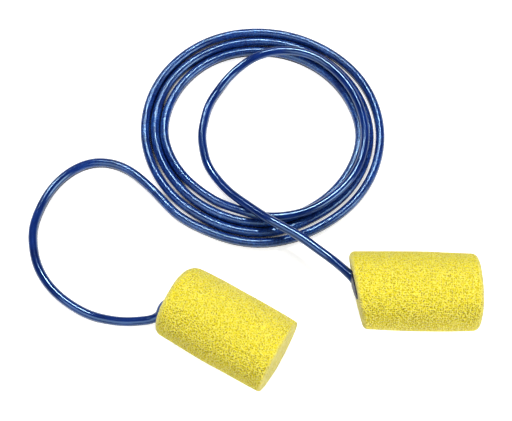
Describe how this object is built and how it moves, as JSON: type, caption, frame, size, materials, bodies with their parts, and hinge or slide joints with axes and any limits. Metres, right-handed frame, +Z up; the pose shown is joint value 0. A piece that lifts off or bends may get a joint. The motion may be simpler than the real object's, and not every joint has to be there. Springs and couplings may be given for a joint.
{
  "type": "corded foam ear plugs",
  "caption": "Cylindrical foam ear plugs, one glued to each end of a thin vinyl cord that lies in a loose coil.",
  "frame": {"origin": "centre of the footprint of the two plugs together, on the surface that they lie on", "axes": "+Z up, +X along the row from the left plug to the right plug, +Y from the plugs towards the coil"},
  "size_m": [0.0776, 0.0697, 0.013],
  "materials": {
    "foam": "open-celled soft PVC foam, matt, finely pitted",
    "vinyl_cord": "soft vinyl cord, satin to glossy, lightly scuffed",
    "glue": "cured clear adhesive, dark with the cord's blue"
  },
  "bodies": {
    "cord": {"cord_lead_left": "vinyl_cord", "cord_coil": "vinyl_cord", "cord_lead_right": "vinyl_cord"},
    "plug_left": {"foam_plug_left": "foam", "bond_left": "glue", "cord_end_left": "vinyl_cord"},
    "plug_right": {"foam_plug_right": "foam", "bond_right": "glue", "cord_end_right": "vinyl_cord"}
  },
  "joints": [
    {"name": "left_plug_swing", "type": "hinge", "parent": "cord", "child": "plug_left", "pos_m": [-0.02623, 0.00282, 0.0032], "axis": [0, 0, 1], "range_deg": [-15, 30], "stiffness_Nm_per_rad": 0.0004},
    {"name": "right_plug_swing", "type": "hinge", "parent": "cord", "child": "plug_right", "pos_m": [0.00545, 0.00832, 0.0064], "axis": [0, 0, 1], "range_deg": [-30, 20], "stiffness_Nm_per_rad": 0.0004}
  ]
}
